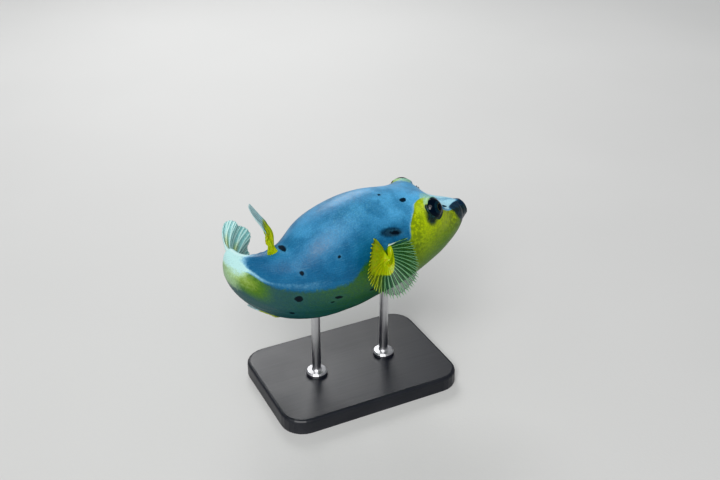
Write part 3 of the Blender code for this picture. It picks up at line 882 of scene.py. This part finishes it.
class SkinGuide:
    """Finds the skin of the head from inside, and its marking fields at the nearest place."""

    def __init__(self, skin, rows, fields):
        count = LIP_ROWS + HEAD_ROWS
        points = rows[:count].reshape(-1, 3)
        self.skin = skin
        self.fields = {name: values[:count].reshape(len(points), -1) for name, values in fields.items()}
        self.tree = KDTree(len(points))
        for i, point in enumerate(points):
            self.tree.insert(point, i)
        self.tree.balance()

    def distance(self, centre, ways):
        """How far the skin lies from a centre inside it, in each direction."""
        found = np.empty(ways.shape[:2])
        start = Vector(centre)
        for i, j in np.ndindex(found.shape):
            hit, point, _, _ = self.skin.ray_cast(start, Vector(ways[i, j]))
            found[i, j] = (point - start).length if hit else 0.05
        return found

    def at(self, points):
        nearest = np.array([self.tree.find(point)[1] for point in points.reshape(-1, 3)])
        shape = points.shape[:2]
        found = {name: values[nearest] for name, values in self.fields.items()}
        return {
            name: values.reshape(*shape, 3) if values.shape[1] == 3 else values.reshape(shape)
            for name, values in found.items()
        }


# ---------------------------------------------------------------- eyes
EYE_ROWS = 56
EYE_ACROSS = 72
RIM_ACROSS = 120
EYEBALL = 0.982  # its radius, as a share of the solid's


def basis(axis):
    """Two directions square to the axis and to each other."""
    side = unit(np.cross(axis, (0.0, 0.0, 1.0)))
    return side, np.cross(axis, side)


def make_eyeball(eye, material):
    """A ball whose clear front bulges a little, inside a shallow groove."""
    polar = np.linspace(0.2, 179.8, EYE_ROWS)[:, None]
    turn = full_turn(EYE_ACROSS)
    bulge = 0.012 * fade(polar, 36, 22) - 0.010 * hump(polar, 36, 2.5)
    distance = eye.radius * (EYEBALL + bulge)
    side, top = basis(eye.gaze)
    angle = np.radians(polar)
    ray = np.cos(angle)[..., None] * eye.gaze + (np.sin(angle) * np.cos(turn))[..., None] * side
    ray = ray + (np.sin(angle) * np.sin(turn))[..., None] * top
    ball = surface("eyeball_" + eye.side, eye.centre + ray * distance[..., None], closed=True)
    spread = polar + 0 * turn
    threads = np.stack((np.cos(turn) * 9 + 0 * polar, np.sin(turn) * 9 + 0 * polar, spread * 0.05), -1)
    mark(ball, polar=spread, threads=threads)
    return settle(ball, material, "eye", "eye_" + eye.side)


def make_eye_rim(eye, material, guide):
    """The soft fold of skin that hugs the eyeball: thin below, and a thicker brow above that covers more."""
    turn = full_turn(RIM_ACROSS)[None, :]
    side, top = basis(eye.axis)
    rim_way = np.cos(turn)[..., None] * side + np.sin(turn)[..., None] * top

    def ways(degrees_off):
        polar = np.radians(degrees_off)[..., None]
        return np.cos(polar) * eye.axis + np.sin(polar) * rim_way

    scan = np.arange(26.0, 84.0, 2.0)[:, None] + 0 * turn
    skin_over_ball = guide.distance(eye.centre, ways(scan)) - eye.radius
    meets = 26 + 2 * np.argmax(skin_over_ball > 0, axis=0)
    smoother = np.fft.rfft(meets)
    smoother[7:] = 0
    meets = np.clip(np.fft.irfft(smoother, len(meets)), 36, 66)[None, :]
    brow = fade(eye.towards(BROW, eye.centre + rim_way), -0.1, 0.95)
    share = np.concatenate((np.linspace(0, 0.45, 15), np.linspace(0.5, 1, 11)))[:, None]
    start = meets - 4 - 7 * brow
    off = start + (meets + 17 - start) * share
    found = guide.distance(eye.centre, ways(off))
    ball = eye.radius * EYEBALL
    rise = np.sin(np.clip(share / 0.32, 0, 1) * pi / 2) ** 0.8
    fold = ball - 0.25 * MM + (0.70 + 0.65 * brow) * MM * rise
    last = fade(share, 0.85, 1)
    outer = found + 0.12 * MM * (1 - last) - 0.15 * MM * last
    distance = fold + (np.maximum(outer, ball) - fold) * fade(share, 0.30, 0.85)
    distance = np.maximum(distance, outer)
    points = eye.centre + ways(off) * distance[..., None]
    rim = surface("eye_rim_" + eye.side, points, closed=True)
    fields = guide.at(points)
    lid = fade(brow, 0.55, 0.92) * fade(share, 0.02, 0.10)
    fields["brow"] = np.maximum(fields["brow"], lid * fade(share, 1.0, 0.6))
    front = fade(eye.towards(SNOUT, eye.centre + rim_way), 0.1, 0.8)
    surround = fade(share, 0.95 - 0.45 * front, 0.45 - 0.25 * front) * (1 - lid) + fade(share, 0.12, 0.03)
    fields["dark"] = np.clip(np.maximum(fields["dark"] * (1 - lid), surround), 0, 1)
    fields["pale"] = fields["pale"] * (1 - lid)
    mark(rim, **fields)
    return settle(rim, material, "skin")


# ---------------------------------------------------------------- nostrils and beak
def make_nostril(side, material):
    """A short fleshy foot that forks into two rounded lobes."""
    around = on_flank(side, NOSTRIL_AROUND)
    foot = body(NOSTRIL_ALONG, around)
    out = outward(NOSTRIL_ALONG, on_flank(side, NOSTRIL_AROUND - NOSTRIL_LEAN))
    forward = unit(body(NOSTRIL_ALONG - 0.01, around) - foot)
    across = np.cross(out, forward)
    rise = np.linspace(0, 1, 22)[:, None]
    turn = full_turn(56)
    fork = np.abs(np.cos(turn)) ** 1.4
    height = (-0.6 + rise * (1.7 + 2.0 * fork)) * MM
    width = (1.35 + 0.75 * rise) * np.sqrt(1 - (0.96 * rise) ** 4) * MM
    thick = (0.95 - 0.25 * rise) * np.sqrt(1 - (0.96 * rise) ** 4) * MM
    x, y = width * np.cos(turn), thick * np.sin(turn) * (0.55 + 0.45 * fork)
    points = foot + height[..., None] * out + x[..., None] * forward + y[..., None] * across
    lobe = surface("nostril_" + side, points, closed=True)
    mark(lobe, tip=rise + 0 * turn)
    return settle(lobe, material, "dark_flesh", "nasal_tentacle_" + side)


BEAK_BACK = 0.030
BEAK_FRONT = -0.0050
BEAK_BULGE = 0.0045  # how far the plates swell forward of that


def make_beak_plate(name, material):
    """Two fused teeth: half a round plate that swells forward to its edge, grooved down the middle."""
    upper = name == "beak_upper"
    start = 0.0 if upper else pi
    bite = np.linspace(start, start + pi, 61)
    swell = np.radians(np.linspace(6, 90, 15))
    along = np.concatenate((np.linspace(BEAK_BACK, BEAK_FRONT, 20), BEAK_FRONT - BEAK_BULGE * np.sin(swell)))
    tall = np.concatenate((np.ones(20), np.abs(np.cos(swell)) ** 0.8))[:, None]
    broad = np.concatenate((np.ones(20), 0.25 + 0.75 * np.abs(np.cos(swell)) ** 0.45))[:, None]
    inner = np.array(LIP_RINGS)[2::-1]
    radii = [np.interp(along, inner[:, 0], inner[:, k])[:, None] - 0.40 * MM for k in (1, 2, 3)]
    groove = 1 - 0.13 * hump(bite, start + pi / 2, 0.06)
    up, down = (size * tall * groove for size in radii[:2])
    outer = section(along[:, None], bite, up, down, radii[2] * broad)
    edge = np.linspace(1, 0, 61)[:, None]
    chord = outer[:, :1] + (outer[:, -1:] - outer[:, :1]) * edge
    apart = np.array((0, 0, 0.22 * MM if upper else -0.22 * MM))
    plate = surface(name + "_plate", np.concatenate((outer, chord), axis=1) + apart, closed=True)
    return settle(plate, material, "tooth", name)


# ---------------------------------------------------------------- fins
FIN_EDGE = 0.0005
FIN_ROOT = -0.10  # where a fin starts, inside the body, as a share of its length


def ray_table(t, table):
    """Each column after the first, read smoothly at t."""
    return np.stack([through(table, t, k) for k in range(1, len(table[0]))], -1)


def crests(t, rays, out, wide=1.0):
    """How high the fin's rays stand, 0 to 1. Each forks in two on its way to the margin."""
    phase = np.abs((t * (rays - 1) + 0.5) % 1 - 0.5)
    fork = 0.21 * fade(out, 0.45, 0.95)
    width = wide * (0.20 - 0.08 * fade(out, 0.1, 0.8))
    return hump(phase, fork, width)


def make_fin(name, point, thickness, rays, samples, rows, fields, notch, ray_height=0.45, ray_width=1.0):
    """A closed thin fin over point(t, v): t across it, v from inside the body out to a margin that is
    notched between the ray tips. The fields give its finish the fleshy, sunny and pale parts; on the pectoral
    fin's first ray the pale part is a painted highlight."""
    across = (rays - 1) * samples + 1
    t, v = np.meshgrid(np.linspace(0, 1, across), np.linspace(FIN_ROOT, 1, rows))
    out = np.clip(v, 0, 1)
    ray = crests(t, rays, out, ray_width)
    reach = v * (1 - notch * (1 - crests(t, rays, np.ones_like(t), ray_width)) * fade(out, 0.5, 1.0))
    middle = point(t, reach)
    normal = unit(np.cross(np.gradient(middle, axis=1), np.gradient(middle, axis=0)))
    web = thickness(t, out) + ray_height * MM * ray * (1 - 0.55 * out)
    middle = middle - normal * (0.35 * MM * (1 - ray) * fade(out, 0.15, 0.6))[..., None]
    half = (web / 2 * np.sqrt(np.clip(1.02 - out**12, 0, 1)))[..., None] * normal
    rows_of_points = np.concatenate((middle + half, (middle - half)[:, ::-1]), axis=1)
    fin = surface(name, rows_of_points, closed=True, capped=True)
    marks = {"out": out, "ray": ray, **fields(t, out)}
    both = {key: np.broadcast_to(field, t.shape) for key, field in marks.items()}
    mark(fin, **{key: np.concatenate((field, field[:, ::-1]), 1) for key, field in both.items()})
    return fin


DORSAL_LENGTH = 0.0402
DORSAL_BASE = (0.755, 0.828)
DORSAL_AROUND = radians(84)  # a little right of the middle line
DORSAL_RAYS = (
    (0.00, -0.42, 0.61, 0.71),
    (0.30, -0.36, 0.40, 0.80),
    (0.60, -0.25, 0.18, 0.81),
    (0.85, -0.11, 0.00, 0.74),
    (1.00, -0.01, -0.08, 0.70),
)
ANAL_LENGTH = 0.034
ANAL_BASE = (0.780, 0.850)
ANAL_RAYS = (
    (0.00, 0.05, 0.90, -0.36),
    (0.30, -0.05, 0.96, -0.30),
    (0.60, -0.15, 0.94, -0.24),
    (0.85, -0.24, 0.84, -0.16),
    (1.00, -0.30, 0.70, -0.10),
)
DORSAL_CURL = 0.0023  # how far the tip of the dorsal fin's first ray bends, forward and to the right
MIDDLE_FIN_ARCH = 0.22


def make_middle_fin(name, base, around, table, length, material):
    """The dorsal or the anal fin: a paddle on a narrow, lumpy, fleshy stalk."""

    def point(t, v):
        out = np.clip(v, 0, 1)
        first = 0.40 * fade(out, 0.42, 0.0) + 0.03 * np.sin(19 * out) * fade(out, 0.7, 0.4)
        last = 0.84 + 0.16 * fade(out, 0.5, 0.95) + 0.07 * np.sin(24 * out + 1) * fade(out, 0.6, 0.3)
        foot = body(base[0] + (base[1] - base[0]) * (first + (last - first) * t), around)
        reach = tilt(ray_table(t, table)) * length
        arch = np.array((0, 0, np.sign(pi - around) * MIDDLE_FIN_ARCH * length))
        ruffle = 1.0 * MM * np.sin(5.5 * pi * t + 7 * v) * out * (1.2 - v)
        sway = tilt((0.3, 0.9, 0.0)) * ruffle[..., None]
        curl = (DORSAL_CURL if around < pi else 0) * out**3 * (1 - t) ** 1.5
        bend = tilt((0.9, -0.44, 0.0)) * curl[..., None]
        return foot + reach * v[..., None] + arch * (v * (1 - v))[..., None] + sway + bend

    def thickness(t, v):
        lumps = 1 + 0.30 * np.sin(9 * pi * t + 4 * v) * np.sin(17 * v + 2 * t) * np.sin(pi * t)
        fleshy = (3.8 * MM - FIN_EDGE) * np.clip(1 - v / 0.66, 0, 1) * lumps
        edges = np.sin(np.clip(0.10 + t, 0, 0.5) * pi) * np.sin(np.clip(1.10 - t, 0, 0.5) * pi)
        return (FIN_EDGE + fleshy) * edges

    def fields(t, v):
        fleshy = fade(v + 0.08 * np.sin(7 * pi * t), 0.60, 0.42)
        return {"fleshy": fleshy, "sunny": fade(v, 0.70, 0.45), "white": 0.35 * fade(v, 0.45, 0.8)}

    fin = make_fin(name, point, thickness, rays=11, samples=10, rows=52, fields=fields, notch=0.03)
    return settle(fin, material, "fin_membrane", name.replace("_rays", ""))


CAUDAL_LENGTH = 0.052
CAUDAL_CURL = radians(34)
CAUDAL_RAYS = (
    (0.00, radians(76), radians(1), 0.96),
    (0.20, radians(70), radians(6), 0.99),
    (0.45, radians(60), radians(6), 1.02),
    (0.70, radians(56), radians(-3), 0.96),
    (0.88, radians(58), radians(-11), 0.87),
    (1.00, radians(60), radians(-17), 0.77),
)
CAUDAL_PLEATS = 3
CAUDAL_ROOT_ALONG = 0.985
CAUDAL_ROOT_INSET = 0.12  # from the back and from the belly, share of the tail stalk's height


def make_tail_fin(material):
    def point(t, v):
        top, foot = (body(CAUDAL_ROOT_ALONG, around) for around in (pi / 2, 3 * pi / 2))
        share = CAUDAL_ROOT_INSET + (1 - 2 * CAUDAL_ROOT_INSET) * t
        root = top + (foot - top) * share[..., None]
        turn, rise, reach = np.moveaxis(ray_table(t, CAUDAL_RAYS), -1, 0)
        out = np.clip(v, 0, 1)
        curl = turn + CAUDAL_CURL * (0.5 - out / 2)
        lobes = 0.5 + 0.5 * np.cos(2 * pi * CAUDAL_PLEATS * t)
        scallop = 1 + out * (0.03 - 0.085 * lobes)
        length = (CAUDAL_LENGTH - 0.5 * MM) * reach * scallop * v
        ray = np.stack((np.cos(curl) * np.cos(rise), np.sin(curl) * np.cos(rise), np.sin(rise)), -1)
        pleat = 2.0 * MM * out * np.sin(2 * pi * CAUDAL_PLEATS * t)
        flat = np.stack((-np.sin(turn), np.cos(turn), np.zeros_like(turn)), -1)
        return root + tilt(ray * length[..., None] + flat * pleat[..., None])

    def thickness(t, v):
        return FIN_EDGE + (6.6 * MM - FIN_EDGE) * np.clip(1 - v / 0.42, 0, 1) ** 1.6

    def fields(t, v):
        fold = (t * CAUDAL_PLEATS) % 1
        strip = hump(fold, 0.5, 0.22) * fade(v, 0.95, 0.40) * fade(v, 0.04, 0.25)
        return {"fleshy": 0 * t, "sunny": 0.72 * strip, "white": 0.5 * fade(v, 0.3, 0.0)}

    fin = make_fin(
        "fin_caudal_rays", point, thickness, rays=13, samples=12, rows=60, fields=fields,
        notch=0.012, ray_height=0.5,
    )
    return settle(fin, material, "pale_fin_membrane", "fin_caudal")


PECTORAL_LENGTH = 0.030
PECTORAL_PLACE = (0.428, radians(6))
PECTORAL_STALK = (0.024, radians(11))
PECTORAL_OPENING = {
    "right": (radians(58), radians(298), 1.0),
    "left": (radians(14), radians(176), 1.25),
}
PECTORAL_RAYS = (
    (0.00, 0.54, 0.58),
    (0.20, 0.38, 0.82),
    (0.40, 0.46, 0.84),
    (0.60, 0.70, 0.70),
    (0.75, 0.70, 0.62),
    (0.88, 0.64, 0.56),
    (1.00, 0.74, 0.42),
)
# how far out the pectoral fin's flesh reaches: place across the fin; share of the ray
PECTORAL_FLESH = (
    (0.00, 0.12), (0.20, 0.10), (0.35, 0.16), (0.50, 0.28), (0.62, 0.34), (0.70, 0.46), (0.80, 0.80),
    (1.00, 0.85),
)
# how long its rays are: place across the fin; share of the full length
PECTORAL_REACH = (
    (0.00, 0.92), (0.20, 0.92), (0.40, 0.95), (0.52, 0.96), (0.62, 0.86), (0.70, 0.86), (0.80, 1.00),
    (1.00, 1.12),
)
PECTORAL_RAY_COUNT = 24


def pectoral_points(side):
    """The fan's middle surface: t from its first ray, up and forward, to its last, v out along a ray."""
    first, sweep, flat = PECTORAL_OPENING[side]

    def point(t, v):
        turn = first - sweep * t
        along = PECTORAL_PLACE[0] - PECTORAL_STALK[0] * np.cos(turn)
        around = PECTORAL_PLACE[1] + PECTORAL_STALK[1] * np.sin(turn)
        foot = body(along, on_flank(side, around))
        lean, out = np.moveaxis(ray_table(t, PECTORAL_RAYS), -1, 0)
        lean, out = lean * flat, out / flat * (-1 if side == "right" else 1)
        ray = np.stack((lean * np.cos(turn), out, lean * np.sin(turn)), -1)
        length = PECTORAL_LENGTH * through(PECTORAL_REACH, t) - 0.4 * MM
        ripple = 0.5 * MM * np.sin(13 * t + 3 * v) * np.clip(v, 0, 1) ** 1.5
        wave = np.stack((np.sin(turn), 0 * turn, -np.cos(turn)), -1)
        return foot + tilt(ray * (length * v)[..., None] + wave * ripple[..., None])

    return point


def make_pectoral_fin(side, material):
    """A fan of thin rays round a fleshy stalk, yellow at the back and see-through in front."""
    uneven = np.random.default_rng(7 if side == "right" else 8).uniform(-1, 1, PECTORAL_RAY_COUNT)
    middle = pectoral_points(side)

    def point(t, v):
        length = np.interp(t * (PECTORAL_RAY_COUNT - 1), np.arange(PECTORAL_RAY_COUNT), uneven)
        return middle(t, v * (1 + 0.035 * length * np.clip(v, 0, 1)))

    def thickness(t, v):
        side = 0.25 + 0.75 * fade(t, 0, 0.10) * fade(t, 1, 0.92)
        return FIN_EDGE + (3.3 * MM - FIN_EDGE) * side * np.clip(1 - v / 0.55, 0, 1) ** 1.5

    def fields(t, v):
        fleshy = fade(v / through(PECTORAL_FLESH, t), 1.35, 0.70)
        # a painted highlight along the root of the first ray
        first_ray_highlight = fade(t, 0.014, 0.004) * fade(v, 0.48, 0.22)
        return {"fleshy": fleshy * (1 - first_ray_highlight), "sunny": fade(t, 0.50, 0.82), "white": 0.8 * first_ray_highlight}

    fin = make_fin(
        f"fin_pectoral_{side}_rays", point, thickness, rays=PECTORAL_RAY_COUNT, samples=10, rows=36,
        fields=fields, notch=0.14, ray_height=0.32, ray_width=0.75,
    )
    return settle(fin, material, "fin_membrane", "fin_pectoral_" + side)


def make_pectoral_lobe(side, material):
    """The fleshy pad inside the fan, which runs out along the rays in ridges."""
    t = np.linspace(0, 1, PECTORAL_RAY_COUNT * 8)[None, :]
    share = np.linspace(0.02, 1, 30)[:, None]
    out = tilt((0.05, -0.95 if side == "right" else 0.95, -0.22))
    heart = body(PECTORAL_PLACE[0], on_flank(side, PECTORAL_PLACE[1])) + out * 3.0 * MM
    far = 0.85 * through(PECTORAL_FLESH, t)
    fan = pectoral_points(side)
    inner, outer = fade(share, 0.0, 0.55), np.clip((share - 0.40) / 0.60, 0, 1)
    on_fan = fan(t + 0 * share, far * outer + 0 * share)
    ridge = crests(t + 0 * share, PECTORAL_RAY_COUNT, far * outer + 0 * share)
    lift = (2.6 * (1 - share) ** 0.8 + 1.0 * np.sin(pi * np.clip(share, 0, 1)) - 0.35) * MM
    lift = lift + 0.42 * MM * (ridge - 0.5) * fade(share, 0.15, 0.5) * fade(share, 1.0, 0.8)
    lift = lift + 0.5 * MM * np.sin(31 * t + 5 * share) * np.sin(9 * share + 13 * t) * fade(share, 1, 0.5)
    ends = np.minimum(fade(t, 0.0, 0.03), fade(t, 1.0, 0.97))
    lift = lift * ends - 1.2 * MM * (1 - ends)
    points = heart + (on_fan - heart) * inner[..., None] + out * lift[..., None]
    lobe = surface("pectoral_lobe_" + side, points)
    full = np.ones(points.shape[:2])
    mark(lobe, out=0 * full, ray=0.25 + 0.75 * ridge, fleshy=full, sunny=full, white=0 * full)
    return settle(lobe, material, "fin_membrane")


# ---------------------------------------------------------------- camera, light and floor
CAMERA_AZIMUTH = radians(-26.4)
CAMERA_ELEVATION = radians(29.3)
CAMERA_DISTANCE = 0.7573  # from the middle of the spine
LENS = 50.0
SENSOR = 36.0
ASIDE = (-0.007573, -0.0053768)  # how far the spine's middle lies right of and above the line of sight


def make_camera():
    a, e = CAMERA_AZIMUTH, CAMERA_ELEVATION
    back = Vector((sin(a) * cos(e), -cos(a) * cos(e), sin(e)))
    right = Vector((cos(a), sin(a), 0))
    up = back.cross(right)
    camera = add_object("camera", bpy.data.cameras.new("camera"))
    camera.data.lens = LENS
    camera.data.sensor_width = SENSOR
    middle = Vector((0, 0, SPINE_HEIGHT))
    camera.location = middle + back * CAMERA_DISTANCE - right * ASIDE[0] - up * ASIDE[1]
    camera.rotation_mode = "QUATERNION"
    camera.rotation_quaternion = (-back).to_track_quat("-Z", "Y")
    bpy.context.scene.camera = camera


# name: place, size, power in watts, colour
LAMPS = {
    "side": ((-0.75, -0.95, 0.95), 0.60, 8.0, (1.0, 0.99, 0.97)),
    "rim": ((0.25, 1.10, 0.85), 0.70, 7.0, (1.0, 1.0, 1.0)),
}
SUN_FROM = (-0.45, -0.50, 1.0)
SUN_POWER = 1.35
SUN_SOFTNESS = radians(38)
SKY_POWER = 0.36
SKY_COLOUR = (0.95, 0.97, 1.0, 1)
FLOOR_HALF = 30.0


def add_lamp(name, data, spot):
    lamp = add_object(name, data)
    lamp.location = spot
    lamp.rotation_mode = "QUATERNION"
    aim = Vector((0, 0, SPINE_HEIGHT))
    lamp.rotation_quaternion = (aim - lamp.location).to_track_quat("-Z", "Y")


def make_lamps():
    for name, (spot, size, power, colour) in LAMPS.items():
        data = bpy.data.lights.new(name, "AREA")
        data.shape = "DISK"
        data.size = size
        data.energy = power
        data.color = colour
        add_lamp(name, data, spot)
    key = bpy.data.lights.new("key", "SUN")
    key.energy = SUN_POWER
    key.angle = SUN_SOFTNESS
    add_lamp("key", key, SUN_FROM)
    world = bpy.data.worlds.new("studio")
    world.use_nodes = True
    sky = world.node_tree.nodes["Background"].inputs
    sky["Color"].default_value = SKY_COLOUR
    sky["Strength"].default_value = SKY_POWER
    bpy.context.scene.world = world


def make_floor():
    corners = [(x * FLOOR_HALF, y * FLOOR_HALF, 0) for x, y in ((-1, -1), (1, -1), (1, 1), (-1, 1))]
    mesh = bpy.data.meshes.new("floor")
    mesh.from_pydata(corners, [], [(0, 1, 2, 3)])
    mesh.materials.append(floor_finish())
    floor = add_object("floor", mesh)


def dress_stand():
    """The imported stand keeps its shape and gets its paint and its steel."""
    wood, steel = painted_wood_finish(), brushed_steel_finish()
    for name, material in (("stand_base", wood), ("stand_rod_front", steel), ("stand_rod_rear", steel)):
        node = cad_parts[name]
        for slot in node.material_slots:
            slot.material = material


def main():
    make_camera()
    make_lamps()
    make_floor()
    bpy.context.scene.view_settings.view_transform = "Khronos PBR Neutral"

    skin_material = skin_finish()
    guide = make_skin(skin_material)
    bpy.context.view_layer.update()
    glassy, flesh, tooth = eye_finish(), dark_flesh_finish(), tooth_finish()
    for eye in EYES:
        make_eyeball(eye, glassy)
        make_eye_rim(eye, skin_material, guide)
        make_nostril(eye.side, flesh)
    for name in ("beak_upper", "beak_lower"):
        make_beak_plate(name, tooth)

    yellow_fin, middle_fin, pale_fin = (fin_finish(*given) for given in FIN_FINISHES)
    for side in ("right", "left"):
        make_pectoral_fin(side, yellow_fin)
        make_pectoral_lobe(side, yellow_fin)
    make_middle_fin("fin_dorsal_rays", DORSAL_BASE, DORSAL_AROUND, DORSAL_RAYS, DORSAL_LENGTH, middle_fin)
    make_middle_fin("fin_anal_rays", ANAL_BASE, 3 * pi / 2, ANAL_RAYS, ANAL_LENGTH, middle_fin)
    make_tail_fin(pale_fin)
    dress_stand()


main()
